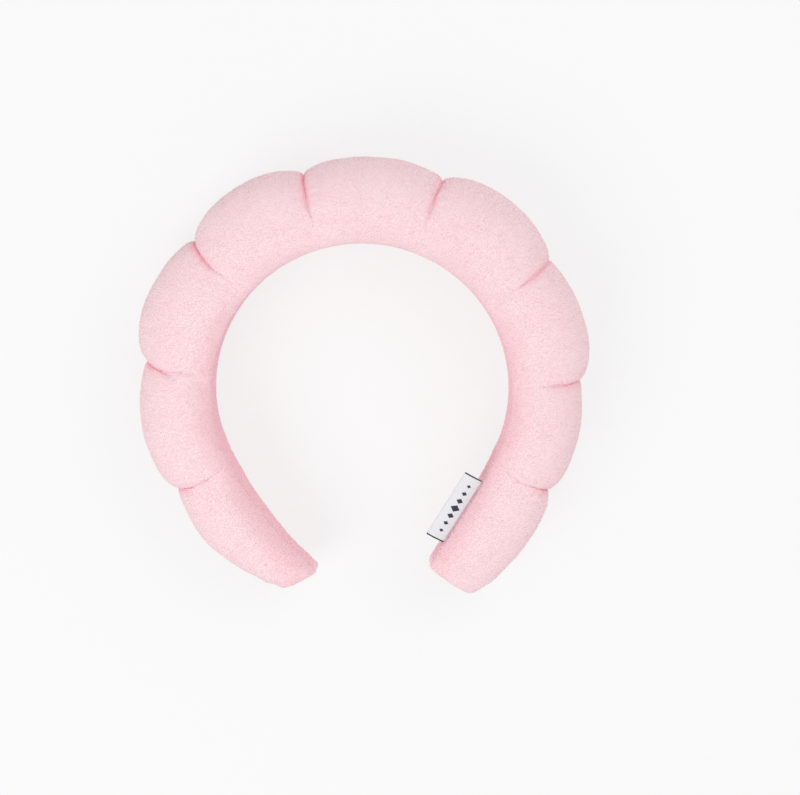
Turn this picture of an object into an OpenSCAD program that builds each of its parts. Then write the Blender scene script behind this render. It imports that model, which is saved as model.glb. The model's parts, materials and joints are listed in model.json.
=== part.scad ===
// Padded spa headband: a springy plastic hoop inside a foam roll, wrapped in terry cloth
// and tied with thread into nine puffs.
// It lies flat on a table. +Z is up, +Y points to the crown of the head, +X to the label's side.
// The origin is at the middle of the outline's box, on the table.
// "n" is always the distance outwards from the lining's face, which the head touches.

/* [Head opening] */
// Radius of the lining's face round the crown
inner_r = 59.3; // [50:0.1:75]
// Creases left of the crown, in degrees from it, outwards
crease_left = [15, 48, 82, 118]; // [12:1:122]
// Creases right of the crown, in degrees from it, outwards
crease_right = [21, 55, 87, 118]; // [12:1:122]
// Bend radius of the left arm, past its last crease
left_arm_r = 160; // [100:5:600]
// Bend radius of the right arm, past its last crease
right_arm_r = 400; // [100:5:600]
// Length of the left arm along the lining, past its last crease
left_arm_len = 57; // [45:1:70]
// Length of the right arm along the lining, past its last crease
right_arm_len = 50; // [45:1:70]

/* [Padding] */
// Thickness of the puff at the crown
crown_puff_t = 35; // [28:0.1:44]
// Thickness of the first puff on each side of it
first_puff_t = 36.6; // [28:0.1:44]
// Thickness of the second puff on each side
second_puff_t = 35; // [28:0.1:44]
// Thickness of the third puff on each side
third_puff_t = 30.3; // [24:0.1:40]
// Thickness of the last puff on the left
left_end_puff_t = 27.2; // [22:0.1:36]
// Thickness of the last puff on the right
right_end_puff_t = 29.2; // [22:0.1:36]
// Thickness at the left tip
left_tip_t = 16.5; // [14:0.1:24]
// Thickness at the right tip
right_tip_t = 21; // [14:0.1:24]
// How the left arm thins: 1 is evenly, 2 is mostly near its tip
left_thinning = 1; // [0.8:0.1:2.5]
// How the right arm thins
right_thinning = 2; // [0.8:0.1:2.5]
// How far a tie pulls the roll in, below the puffs beside it
crease_depth = 5.6; // [3:0.1:8]
// How far a puff stands past the lining's edges, front and back
puff_overhang = 8.5; // [7:0.1:12]
// How far the roll stands past the lining's edges at a tie
crease_overhang = 4.6; // [4:0.1:6]
// How far the left tip's outer corner lies behind its inner corner
left_tip_slant = 6; // [0:0.5:8]
// How far the right tip's outer corner lies behind its inner corner
right_tip_slant = 0; // [0:0.5:8]
// How much the table flattens the puffs
table_dent = 0.6; // [0.3:0.1:1.5]

/* [Cloth] */
// Thickness of the terry cloth, of the cover and the lining
cloth_t = 2; // [1.2:0.1:2.6]
// Width of the lining
lining_w = 25; // [22:0.5:32]
// Width of the lining at a tip
lining_tip_w = 13; // [12:0.5:16]
// Length of the folded end of the cover at a tip
end_fold_len = 5; // [4:0.5:8]
// Thickness of the sewing thread along the edges
seam_d = 0.8; // [0.5:0.1:1.2]
// Thickness of the thread that ties the puffs
tie_d = 0.9; // [0.6:0.1:1.2]

/* [Hoop] */
// Thickness of the plastic hoop
hoop_t = 2; // [1.5:0.1:3]
// Width of the hoop
hoop_w = 20; // [14:0.5:21]
// Width of the hoop at a tip
hoop_tip_w = 8; // [6:0.5:10]
// How far the crease next to the crown opens when the headband is spread
spread_angle = 7; // [3:0.5:9]

/* [Label] */
// Length of the folded label along the seam
label_len = 29.6; // [15:0.2:34]
// How far the label stands out of the seam
label_w = 8.4; // [5:0.2:14]
// Thickness of the label's ribbon
ribbon_t = 0.4; // [0.3:0.05:0.8]
// Where the label starts, past the last crease
label_start = 8.5; // [5:0.5:12]
// How far the label tips up from the table's plane
label_tilt = 14; // [0:1:30]

/* [Clearances] */
// Gap between the layers of one puff
layer_gap = 0.15; // [0.1:0.05:0.3]
// Gap between one puff and the next at the hoop
cut_gap = 0.7; // [0.6:0.1:1.2]
// Gap between the label's root and the seam
label_gap = 0.6; // [0.5:0.05:0.9]

/* [Hidden] */

left = -1;
right = 1;
last = 4;                       // the end puff; 0 is the crown
terry = [0.98, 0.86, 0.88];
sewing = [0.95, 0.76, 0.8];
plastic = [0.94, 0.94, 0.92];
sponge = [0.98, 0.95, 0.82];
ribbon = [0.97, 0.97, 0.98];

puff_rings = 8;                 // stations along one puff
corner_steps = 4;               // points round each inner corner of the section
dome_steps = 5;                 // points from the side of the section to its outermost point
thread_sides = 6;               // sides of a thread
tie_steps = 12;                 // points of a tie round the outside of the roll
fold_steps = 4;                 // stations along a folded end
widest_share = 0.42;            // where the section is widest, as a share of its thickness
fullness = 0.88;                // below 1 the section is squarer than an ellipse
edge_flat = 1;                  // flat beside the lining before the section rounds away
open_shares = [1, 0.85, 0.6, 0.3];   // how far each crease opens, for the first one's angle

puff_ts = [crown_puff_t, first_puff_t, second_puff_t, third_puff_t];
lift = lining_w / 2 + puff_overhang - table_dent;      // height of the hoop's plane
hoop_n = cloth_t + layer_gap;                          // the hoop's inner face
pivot_n = hoop_n + hoop_t / 2;                         // the creases bend at the hoop's middle
foam_inset = cloth_t + layer_gap;
seam_n = -(seam_d / 2 + 0.05);                         // the edge threads lie on the lining's face

// Points and directions in the hoop's plane, for the right side; the left side is mirrored.
function polar(a) = [sin(a), cos(a)];
function along(a) = [cos(a), -sin(a)];
function lerp(a, b, u) = a + (b - a) * u;
function arc_deg(len, r) = len / r * 180 / PI;

function creases(side) = side == left ? crease_left : crease_right;
function arm_r(side) = side == left ? left_arm_r : right_arm_r;
function arm_len(side) = side == left ? left_arm_len : right_arm_len;
function tip_t(side) = side == left ? left_tip_t : right_tip_t;
function end_puff_t(side) = side == left ? left_end_puff_t : right_end_puff_t;
function thinning(side) = side == left ? left_thinning : right_thinning;
function tip_slant(side) = side == left ? left_tip_slant : right_tip_slant;
function arm_centre(side) = (inner_r - arm_r(side)) * polar(creases(side)[last - 1]);

// The arc that puff k's lining follows: its centre, radius, first and last angle.
function first_angle(side, k) = k == 0 ? -crease_left[0] : creases(side)[k - 1];
function last_angle(side, k) = k == last
    ? first_angle(side, k) + arc_deg(arm_len(side) - end_fold_len, arm_r(side))
    : creases(side)[k];
function arc_r(side, k) = k == last ? arm_r(side) : inner_r;
function arc_centre(side, k) = k == last ? arm_centre(side) : [0, 0];
function on_arc(side, k, a) = arc_centre(side, k) + arc_r(side, k) * polar(a);
function tip_angle(side) = first_angle(side, last) + arc_deg(arm_len(side), arm_r(side));

// The lining narrows along each arm.
function taper(side, p) =
    let (y0 = on_arc(side, last, first_angle(side, last))[1], y1 = on_arc(side, last, tip_angle(side))[1])
    max(0, min(1, (y0 - p[1]) / (y0 - y1)));
function lining_half(side, k, p) =
    k == last ? lerp(lining_w, lining_tip_w, taper(side, p)) / 2 : lining_w / 2;

// Thickness and overhang of the roll. u runs from 0 to 1 along a puff.
function swell(u) = pow(1 - pow(abs(2 * u - 1), 2.4), 0.75);
function puff_t(side, k) = k == last ? end_puff_t(side) : puff_ts[k];
function crease_t(side, j) = (puff_t(side, j) + puff_t(side, j + 1)) / 2 - crease_depth;
function base_t(side, k, u) =
    k == 0 ? crease_t(side, 0) : lerp(crease_t(side, k - 1), crease_t(side, k), u);
function end_swell(u) = pow(1 - pow(1 - min(1, u / 0.35), 2.4), 0.75);
function end_drop(u, fall) = pow(max(0, (u - 0.35) / 0.65), fall);
function roll_t(side, k, u) = k == last
    ? lerp(
        lerp(crease_t(side, last - 1), end_puff_t(side), end_swell(u)),
        tip_t(side),
        end_drop(u, thinning(side)))
    : lerp(base_t(side, k, u), puff_ts[k], swell(u));
function overhang(k, u) = k == last
    ? lerp(lerp(crease_overhang, puff_overhang, end_swell(u)), crease_overhang, end_drop(u, 2))
    : lerp(crease_overhang, puff_overhang, swell(u));

// A station is [origin, outward direction, slant, thickness, lining half width, overhang].
// At a tie the station leans away from its neighbour, so that the creases can open.
function lean(side, k, u) =
    let (j = u == 0 ? k - 1 : k)
    (u == 0 ? 1 : -1) * spread_angle * open_shares[max(0, j)] / 2;
function tied(k, u) = u == 0 || (u == 1 && k != last);
function puff_u(side, k, u) = k == last ? u * (1 - end_fold_len / arm_len(side)) : u;
function station(side, k, u, back = 0) =
    let (
        a = lerp(first_angle(side, k), last_angle(side, k), u),
        way = u == 0 ? 1 : -1,
        b = tied(k, u) ? a + lean(side, k, u) : a,
        p = on_arc(side, k, a),
        pivot = p + pivot_n * polar(a),
        origin = tied(k, u) ? pivot + way * (cut_gap / 2 + back) * along(a) - pivot_n * polar(b) : p,
        v = puff_u(side, k, u)
    )
    [
        origin, polar(b), k == last ? -tip_slant(side) * pow(v, 2) : 0,
        roll_t(side, k, v), lining_half(side, k, p), overhang(k, v)
    ];
function spacing(i, steps) = (1 - cos(180 * i / steps)) / 2;
function stations(side, k) = [for (i = [0 : puff_rings]) station(side, k, spacing(i, puff_rings))];

// The section's outline, inset by "inset", from the edge at z = edge round the outside.
function power(x, e) = x <= 0 ? 0 : pow(x, e);
function upper_curve(t, half, hang, inset) =
    let (widest = widest_share * t, round = hang - edge_flat, reach = half + hang)
    concat(
        [for (i = [0 : corner_steps - 1]) let (b = 90 * i / corner_steps)
            [widest - (widest - inset) * cos(b), reach - round + (round - inset) * sin(b)]],
        [for (i = [0 : dome_steps - 1]) let (c = 90 * (1 - i / dome_steps))
            [widest + (t - widest - inset) * power(cos(c), fullness),
             (reach - inset) * power(sin(c), fullness)]]
    );
function mirrored(points) = [for (i = [len(points) - 1 : -1 : 0]) [points[i][0], -points[i][1]]];
function settled(points, inset) = [for (p = points) [p[0], max(p[1], inset - lift)]];
function closed_outline(st, upper, inset) =
    settled(concat(upper, [[st[3] - inset, 0]], mirrored(upper)), inset);
function whole_outline(st) = closed_outline(st, upper_curve(st[3], st[4], st[5], 0), 0);
function outline(st, inset, edge) =
    closed_outline(st, concat([[inset, edge]], upper_curve(st[3], st[4], st[5], inset)), inset);

// Section points [n, z] of a station in space. The slant starts at the lining's back.
function placed(st, points) = [
    for (p = points) let (
        slant = st[2] * max(0, p[0] - cloth_t) / (st[3] - cloth_t),
        q = st[0] + p[0] * st[1] + slant * [st[1][1], -st[1][0]])
        [q[0], q[1], p[1]]
];
function cover_edge(st) = st[4] + layer_gap;
function cover_ring(st) =
    let (outer = outline(st, 0, cover_edge(st)), inner = outline(st, cloth_t, cover_edge(st)))
    placed(st, concat(outer, [for (i = [len(inner) - 1 : -1 : 0]) inner[i]]));
function channel_half(st) =
    let (narrowed = (lining_w / 2 - st[4]) / (lining_w / 2 - lining_tip_w / 2))
    lerp(hoop_w, hoop_tip_w, narrowed) / 2 + layer_gap;
function foam_ring(st) =
    let (c = channel_half(st), floor_n = hoop_n + hoop_t + layer_gap)
    placed(st, concat([[floor_n, c]], outline(st, foam_inset, c), [[floor_n, -c]]));

// Triangles that close a ring of n points, in strips between its two halves.
function across(n) = [
    for (i = [0 : ceil(n / 2) - 2])
        each [if (i + 1 < n - 2 - i) [i, i + 1, n - 2 - i], [i, n - 2 - i, n - 1 - i]]
];
// The same for the foam's ring, whose first and last points are the channel's corners.
function beside_channel(n) =
    let (outermost = (n - 1) / 2)
    concat(
        [for (i = [1 : outermost - 1]) [0, i, i + 1]],
        [[0, outermost, n - 1]],
        [for (i = [outermost : n - 3]) [n - 1, i, i + 1]]
    );
function flipped(triangles, offset) = [for (f = triangles) [f[2] + offset, f[1] + offset, f[0] + offset]];
function walls(n, from, to) = [
    for (i = [0 : n - 1]) let (h = (i + 1) % n)
        each [[from + i, to + i, to + h], [from + i, to + h, from + h]]
];

// A solid through rings of points, closed at both ends.
module skin(rings, cap) {
    n = len(rings[0]);
    m = len(rings);
    polyhedron(
        points = [for (ring = rings) each ring],
        faces = concat(
            cap,
            flipped(cap, (m - 1) * n),
            [for (j = [0 : m - 2]) each walls(n, j * n, (j + 1) * n)]
        )
    );
}

// A closed loop of thread through rings of points.
module loop_skin(rings) {
    n = len(rings[0]);
    m = len(rings);
    polyhedron(
        points = [for (ring = rings) each ring],
        faces = [for (j = [0 : m - 1]) each walls(n, j * n, ((j + 1) % m) * n)]
    );
}

// The whole headband's outline gives the place of its origin.
outer_points = concat(
    [for (k = [0 : last], st = stations(right, k)) each placed(st, whole_outline(st))],
    [for (k = [1 : last], st = stations(left, k)) for (p = placed(st, whole_outline(st)))
        [-p[0], p[1], p[2]]],
    [for (side = [left, right], ring = fold_rings(side)) for (p = ring) [side * p[0], p[1], p[2]]]
);
xs = [for (p = outer_points) p[0]];
ys = [for (p = outer_points) p[1]];
centre = [(min(xs) + max(xs)) / 2, (min(ys) + max(ys)) / 2];

module in_place(side = right) {
    translate([-centre[0], -centre[1], lift])
        mirror([side == left ? 1 : 0, 0, 0])
            children();
}

// A strip that follows puff k's arc: from n0 outwards by t, w wide.
module strip(side, k, n0, t, w) {
    trim = arc_deg(cut_gap / 2, arc_r(side, k) + n0);
    a0 = first_angle(side, k) + trim;
    a1 = last_angle(side, k) - (k == last ? 0 : trim);
    c = arc_centre(side, k);
    translate([c[0], c[1], 0])
        rotate([0, 0, 90 - a1])
            rotate_extrude(angle = a1 - a0, $fn = 180)
                translate([arc_r(side, k) + n0, -w / 2])
                    square([t, w]);
}

// Seen from the side, the arm's strip narrows from w to tip_w, with a round end.
module arm_outline(side, w, tip_w, round_end) {
    y0 = on_arc(side, last, first_angle(side, last))[1];
    tip = on_arc(side, last, tip_angle(side))[1];
    end = on_arc(side, last, last_angle(side, last))[1];
    y1 = round_end ? end + tip_w / 2 : tip;
    rotate([90, 0, 90])
        linear_extrude(height = 4 * inner_r, center = true) {
            polygon([[inner_r, w / 2], [y0, w / 2], [y1, tip_w / 2],
                [y1, -tip_w / 2], [y0, -w / 2], [inner_r, -w / 2]]);
            if (round_end)
                translate([y1, 0])
                    circle(d = tip_w, $fn = 48);
        }
}

module hoop(side, k) {
    color(plastic)
        in_place(side)
            if (k == last)
                intersection() {
                    strip(side, k, hoop_n, hoop_t, hoop_w);
                    arm_outline(side, hoop_w, hoop_tip_w, true);
                }
            else
                strip(side, k, hoop_n, hoop_t, hoop_w);
}

module lining(side, k) {
    color(terry)
        in_place(side)
            if (k == last)
                intersection() {
                    strip(side, k, 0, cloth_t, lining_w);
                    arm_outline(side, lining_w, lining_tip_w, false);
                }
            else
                strip(side, k, 0, cloth_t, lining_w);
}

module cover(side, k) {
    rings = [for (st = stations(side, k)) cover_ring(st)];
    color(terry)
        in_place(side)
            skin(rings, across(len(rings[0])));
}

module foam(side, k) {
    rings = [for (st = stations(side, k)) foam_ring(st)];
    color(sponge)
        in_place(side)
            skin(rings, beside_channel(len(rings[0])));
}

// Edge stitching: one thread on the front edge of the lining and one on the back edge.
function seam_ring(st, face) = placed(st, [
    for (i = [0 : thread_sides - 1]) let (b = -360 * i / thread_sides)
        [seam_n + seam_d / 2 * cos(b), face * st[4] + seam_d / 2 * sin(b)]
]);
module seam(side, k) {
    color(sewing)
        in_place(side)
            for (face = [-1, 1])
                skin([for (st = stations(side, k)) seam_ring(st, face)], across(thread_sides));
}

// A tie's thread goes round the outer part of the roll and straight back through the foam.
function tie_path(st) =
    let (t = st[3] + tie_d / 2, reach = st[4] + st[5] + tie_d / 2, widest = widest_share * st[3])
    concat(
        [for (i = [0 : tie_steps]) let (c = 90 - 180 * i / tie_steps)
            [widest + (t - widest) * power(cos(c), fullness),
             sign(c) * reach * power(abs(sin(c)), fullness)]],
        [for (share = [-0.5, 0, 0.5]) [widest, share * reach]]
    );
function unit(v) = v / norm(v);
function tie_ring(st, path, i) =
    let (
        m = len(path),
        ahead = unit(path[(i + 1) % m] - path[(i + m - 1) % m]),
        out = [ahead[1], -ahead[0]],
        side_way = [st[1][1], -st[1][0]],
        c = st[0] + path[i][0] * st[1]
    )
    [for (q = [0 : thread_sides - 1]) let (
        r = tie_d / 2 * cos(360 * q / thread_sides), s = tie_d / 2 * sin(360 * q / thread_sides),
        p = c + r * out[0] * st[1] + s * side_way)
        [p[0], p[1], path[i][1] + r * out[1]]];
module tie(side, k) {
    // The thread sits on the end of the puff nearer to the crown.
    host = k - 1;
    end = host == 0 && side == left ? 0 : 1;
    st = station(host == 0 ? right : side, host, end, tie_d / 2 + layer_gap);
    path = tie_path(st);
    color(sewing)
        in_place(host == 0 ? right : side)
            loop_skin([for (i = [0 : len(path) - 1]) tie_ring(st, path, i)]);
}

// The cover's end is folded in and sewn shut over the foam.
function fold_rings(side) = [
    for (i = [0 : fold_steps]) let (
        v = i / fold_steps,
        len = arm_len(side) - end_fold_len + layer_gap + v * (end_fold_len - layer_gap),
        a = first_angle(side, last) + arc_deg(len, arm_r(side)),
        p = on_arc(side, last, a),
        u = len / arm_len(side),
        shrink = pow(1 - pow(0.92 * v, 3), 1 / 3),
        t = roll_t(side, last, u),
        st = [p, polar(a), -tip_slant(side) * pow(u, 2), t, lining_half(side, last, p), overhang(last, u)],
        middle = widest_share * t
    )
    placed(st, [for (q = whole_outline(st)) [middle + (q[0] - middle) * shrink, q[1] * shrink]])
];
module end_fold(side) {
    rings = fold_rings(side);
    color(terry)
        in_place(side)
            skin(rings, across(len(rings[0])));
}

// The label is a ribbon folded in half along its free edge and sewn into the front seam.
label_a = [for (len = [label_start, label_start + label_len / 2, label_start + label_len])
    first_angle(right, last) + arc_deg(len, arm_r(right))];
label_half = [for (a = label_a) lining_half(right, last, on_arc(right, last, a))];
label_pitch = atan((label_half[0] - label_half[2]) / label_len);
label_root = concat(on_arc(right, last, label_a[1]) + seam_n * polar(label_a[1]), label_half[1]);
module ribbon_fold() {
    fold_r = ribbon_t * 1.5;
    bend = label_w - fold_r;
    start = seam_d / 2 + label_gap;
    difference() {
        union() {
            translate([start, -fold_r])
                square([bend - start, 2 * fold_r]);
            translate([bend, 0])
                circle(r = fold_r, $fn = 48);
        }
        translate([start - 1, -fold_r + ribbon_t])
            square([bend - start + 1, 2 * (fold_r - ribbon_t)]);
        translate([bend, 0])
            circle(r = fold_r - ribbon_t, $fn = 48);
    }
}
module label() {
    color(ribbon)
        in_place(right)
            translate(label_root)
                rotate([0, 0, 180 - label_a[1]])
                    rotate([0, -label_pitch, 0])
                        rotate([label_tilt, 0, 0])
                            rotate([90, 0, 90])
                                linear_extrude(height = label_len, center = true)
                                    ribbon_fold();
}

module show(name, side, k) {
    hoop(side, k);
    foam(side, k);
    cover(side, k);
    lining(side, k);
    seam(side, k);
}
show("crown", right, 0);
for (side = [left, right], k = [1 : last]) {
    name = str(side == left ? "left_" : "right_", k);
    show(name, side, k);
    tie(side, k);
}
end_fold(left);  // end_fold_left
end_fold(right);  // end_fold_right
label();
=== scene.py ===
import json
from math import atan2, cos, degrees, exp, pi, radians, sin

import bmesh
import bpy
from mathutils import Matrix, Vector, noise

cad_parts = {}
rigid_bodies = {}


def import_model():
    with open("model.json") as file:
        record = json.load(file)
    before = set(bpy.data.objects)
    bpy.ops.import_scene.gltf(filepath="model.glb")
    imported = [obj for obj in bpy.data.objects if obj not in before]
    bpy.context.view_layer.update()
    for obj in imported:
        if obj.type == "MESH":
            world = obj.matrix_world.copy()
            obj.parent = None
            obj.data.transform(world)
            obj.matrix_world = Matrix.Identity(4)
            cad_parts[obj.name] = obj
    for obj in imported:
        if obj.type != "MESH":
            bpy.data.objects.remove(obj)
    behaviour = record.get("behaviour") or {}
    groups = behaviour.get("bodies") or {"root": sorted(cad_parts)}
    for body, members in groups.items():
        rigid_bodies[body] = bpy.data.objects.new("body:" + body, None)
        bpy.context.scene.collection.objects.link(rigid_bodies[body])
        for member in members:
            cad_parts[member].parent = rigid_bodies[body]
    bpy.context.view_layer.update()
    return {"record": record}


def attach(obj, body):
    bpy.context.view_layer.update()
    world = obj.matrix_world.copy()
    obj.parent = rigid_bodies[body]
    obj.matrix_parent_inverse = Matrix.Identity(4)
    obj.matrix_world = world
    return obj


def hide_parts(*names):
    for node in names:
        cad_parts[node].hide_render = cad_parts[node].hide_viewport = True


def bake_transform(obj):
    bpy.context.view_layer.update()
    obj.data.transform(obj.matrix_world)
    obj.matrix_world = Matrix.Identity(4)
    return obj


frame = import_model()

mm = 0.001
scene = bpy.context.scene
record = frame["record"]
joints = {joint["name"]: joint for joint in record["behaviour"]["joints"]}
headMount = next(mount for mount in record["mounts"] if mount["name"] == "head")
headCentre = Vector(headMount["pos_m"])  # middle of the head's circle, at the hoop's height
sideNames = ("left", "right")

# The padded roll, in millimetres. Lists run from the crown to the tip.
roll = {
    "innerRadius": 59.3,
    "armRadius": {"left": 160, "right": 400},
    "armLength": {"left": 57, "right": 50},
    "crownPuff": 33.1,
    "puffs": {"left": [34.7, 33.3, 29.2], "right": [35.9, 33.2, 28.5]},
    "creases": {"left": [29.4, 29.6, 26.4, 22.9], "right": [29.8, 31.0, 27.1, 25.0]},
    # thickness along each end puff: how far back from the tip, how thick
    "ends": {
        "left": [(57, 23.5), (52, 25), (40, 25.9), (30, 24.6), (22, 22.3), (12, 19), (5, 16.6), (0, 15.8)],
        "right": [(50, 25.5), (45, 27.4), (34, 28.4), (22, 27.5), (10, 25.2), (4, 23), (0, 21.8)],
    },
    "tipSlant": {"left": 6, "right": 0},
    "foldDepth": 0.6,  # how deep the closed fold runs under the line where two puffs meet
    "puffHang": 7.8,  # how far a puff stands past the lining's edges
    "creaseHang": 6.3,
    "widestAt": 0.42,  # where the roll is deepest, as a share of its thickness
    "fullness": 0.88,  # below 1 the outer half is fuller than an ellipse
    "bandRise": 2.5,  # how much thicker the inner band is at a crease than the outer part
    "bandEnd": 0.26,  # where the inner band starts to turn into the puffed part, as a share of thickness
    "bandFade": 0.5,
    "innerDip": 0.35,  # how much the smooth inner band dips at a crease
    "liningWidth": 25,
    "liningTipWidth": 13,
    # how far each puff leans over the next one away from the crown
    "bow": {"left": [0.8, 2.0, 2.0, 1.6], "right": [-0.9, 0.8, 0.8, 1.0]},
    "bowStart": 0.25,  # as a share of the thickness
    "bowReach": 9,  # along the roll
    "roundness": 1.3,  # above 1 the puffs rise more slowly from their creases
    "sectionPoints": {"inner": 4, "side": 5, "outer": 10},
    "arcSteps": 12,
    "endSteps": [0.35, 1.6, 4.5, 8.5, 13],  # from the last crease to the first stations of an end
    "endPitch": 4,  # between the stations after those
    "tipFold": 5,  # how far from the tip the folded end starts to close
    "foldRows": 6,
    "foldGap": 0.7,  # how far from a crease's line the puffs on both sides of it start
    "recess": 0.7,  # how far the cover sits back under the lining
    "tableGap": 0.4,
    "bendReach": 3.6,  # how far either side of a crease the cloth bends when the ring opens
}
cloth = {
    "pressure": 4.0,
    "frames": 20,
    "slack": -0.03,  # negative: the cloth is larger than the form it is tied to
    "quality": 5,
    "mass": 0.3,
    "tension": 10,
    "shear": 4,
    "bending": 0.3,
    "mostSwell": 1.6,  # in millimetres
    "leastSwell": 0.06,  # beside the lining, as a share of the most
    "gathers": 0.42,  # height of the gathers at a crease, in millimetres
    "gatherCount": 23,
    "gatherReach": 5.5,
    "gatherStart": 8,  # how far from the lining's face the gathers start
    "gatherFade": 14,
    "unevenness": 0.32,
    "unevenScales": (95, 260),
    "creaseShadePaint": {"left": 0.75, "right": 0.5},  # how much painted crease shade the cloth takes there, more on the left
    "shadePaintReach": 1.8,
    "shadePaintStart": 12,  # how far from the lining's face the painted crease shade starts
    "innerShadePaint": 0.32,  # painted shade the same way, towards the lining and away from the crown
}
pile = {
    "spacing": 0.68,  # between one loop of the terry and the next, in millimetres
    "density": 3.2,  # tries per square millimetre
    "loopRadius": 0.34,
    "loopLength": 0.54,
    "lift": 0.04,  # how far a loop's middle stands above the cloth
    "lean": 0.9,  # most lean of a loop, in radians
    "smallest": (0.7, 0.7, 0.7),
    "largest": (1.25, 1.25, 1.3),
    "seed": 7,
}


def polar(a):
    return Vector((sin(a), cos(a)))


def mix(a, b, u):
    return a + (b - a) * u


def smooth(u):
    u = min(1.0, max(0.0, u))
    return u * u * (3 - 2 * u)


def pivotOf(side, k):
    return Vector(joints[f"{side}_bend_{k}"]["pos_m"])


# Degrees from the crown to each crease, from the hinges of the frame.
creaseAngles = {}
for side in sideNames:
    offsets = [pivotOf(side, k) - headCentre for k in range(1, 5)]
    creaseAngles[side] = [degrees(atan2(abs(p.x), p.y)) for p in offsets]


def lineFrame(s):
    # s is the length along the lining's face from the crown's middle, in mm, negative to the left
    side = "left" if s < 0 else "right"
    sign = -1 if s < 0 else 1
    inner, arm = roll["innerRadius"], roll["armRadius"][side]
    lastCrease = radians(creaseAngles[side][3])
    bend = inner * lastCrease
    if abs(s) <= bend:
        a, centre, r = abs(s) / inner, Vector((0, 0)), inner
    else:
        a, centre, r = lastCrease + (abs(s) - bend) / arm, (inner - arm) * polar(lastCrease), arm
    point, out = centre + r * polar(a), polar(a)
    point.x, out.x = sign * point.x, sign * out.x
    return point, out, Vector((out.y, -out.x))  # the last one is the way towards larger s


def creaseLength(side, k):
    return (-1 if side == "left" else 1) * roll["innerRadius"] * radians(creaseAngles[side][k])


def tipLength(side):
    sign = -1 if side == "left" else 1
    return creaseLength(side, 3) + sign * roll["armLength"][side]


def liningHalf(s):
    side = "left" if s < 0 else "right"
    bend = abs(creaseLength(side, 3))
    if abs(s) <= bend:
        return roll["liningWidth"] / 2
    y0, y1, y = lineFrame(creaseLength(side, 3))[0].y, lineFrame(tipLength(side))[0].y, lineFrame(s)[0].y
    return mix(roll["liningWidth"], roll["liningTipWidth"], min(1, (y0 - y) / (y0 - y1))) / 2


def fromTable(table, x):
    # table runs from large x to small x
    for (x0, v0), (x1, v1) in zip(table, table[1:]):
        if x >= x1:
            return mix(v1, v0, min(1, (x - x1) / (x0 - x1)))
    return table[-1][1]


def section(thick, half, hang):
    # from the middle of the inner face, up and round to the outermost point
    widest, rounding, reach = roll["widestAt"] * thick, hang - 1, half + hang
    inner, side, outer = roll["sectionPoints"].values()
    points = [(roll["recess"], half * i / inner) for i in range(inner)]
    points.append((0.3 * roll["recess"], half))
    for i in range(side):
        b = pi / 2 * i / side
        points.append((widest * (1 - cos(b)), reach - rounding + rounding * sin(b)))
    for i in range(outer + 1):
        c = pi / 2 * (1 - i / outer)
        across, up = (max(0, part) ** roll["fullness"] for part in (cos(c), sin(c)))
        points.append((widest + (thick - widest) * across, reach * up))
    return points + [(n, -z) for n, z in reversed(points[1:-1])]


sectionCount = len(section(30, 12, 8))

# Every station of the roll: where it is, its cover piece, its thickness in the outer part and in the
# smooth inner band, how far each hangs past the lining, the crease it lies in, and how closed it is.
stations = []


def addStation(s, segment, outer, inner, hang, innerHang, nearCrease=None, squeeze=(1, 1)):
    stations.append(dict(s=s, segment=segment, outer=outer, inner=inner, hang=hang,
                         innerHang=innerHang, nearCrease=nearCrease, squeeze=squeeze))


# Creases from the left tip to the right tip. Segment i of the cover holds crease i.
creaseList = [("left", k) for k in (3, 2, 1, 0)] + [("right", k) for k in range(4)]
creaseS = [creaseLength(side, k) for side, k in creaseList]
lastSegment = len(creaseList) - 1
creaseThick = [roll["creases"][side][k] for side, k in creaseList]
puffThick = [roll["puffs"]["left"][k] for k in (2, 1, 0)] + [roll["crownPuff"]] + roll["puffs"]["right"]


def addEnd(side, segment):
    sign = -1 if side == "left" else 1
    length = roll["armLength"][side]
    backs = [length - step for step in roll["endSteps"]]
    back = backs[-1]
    while back > roll["tipFold"] + 3:
        back -= roll["endPitch"]
        backs.append(back)
    backs.append(roll["tipFold"])
    rows = []
    for b in backs:
        thick = fromTable(roll["ends"][side], b)
        rise = sin(min(pi / 2, (length - b) / 16 * pi / 2 + 0.15))
        hang = mix(roll["creaseHang"], roll["puffHang"], rise * smooth((b + 10) / 34))
        rows.append((tipLength(side) - sign * b, thick, hang, (1, 1)))
    # the folded end closes along its height and narrows a little
    for i in range(1, roll["foldRows"] + 1):
        v = i / roll["foldRows"]
        b = roll["tipFold"] * (1 - sin(v * pi / 2))
        squeeze = ((1 - (0.8 * v) ** 3) ** (1 / 3), (1 - (0.998 * v) ** 2.4) ** (1 / 2.4))
        thick = fromTable(roll["ends"][side], b)
        rows.append((tipLength(side) - sign * b, thick, roll["creaseHang"], squeeze))
    for s, thick, hang, squeeze in rows if side == "right" else reversed(rows):
        addStation(s, segment, thick, thick, hang, hang, squeeze=squeeze)


def addCrease(i):
    near, deep, dip = creaseThick[i], roll["foldDepth"], roll["innerDip"]
    addStation(creaseS[i], i, near - deep, near + roll["bandRise"] - dip, roll["creaseHang"] - deep,
               roll["puffHang"] - dip, nearCrease=i)


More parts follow.
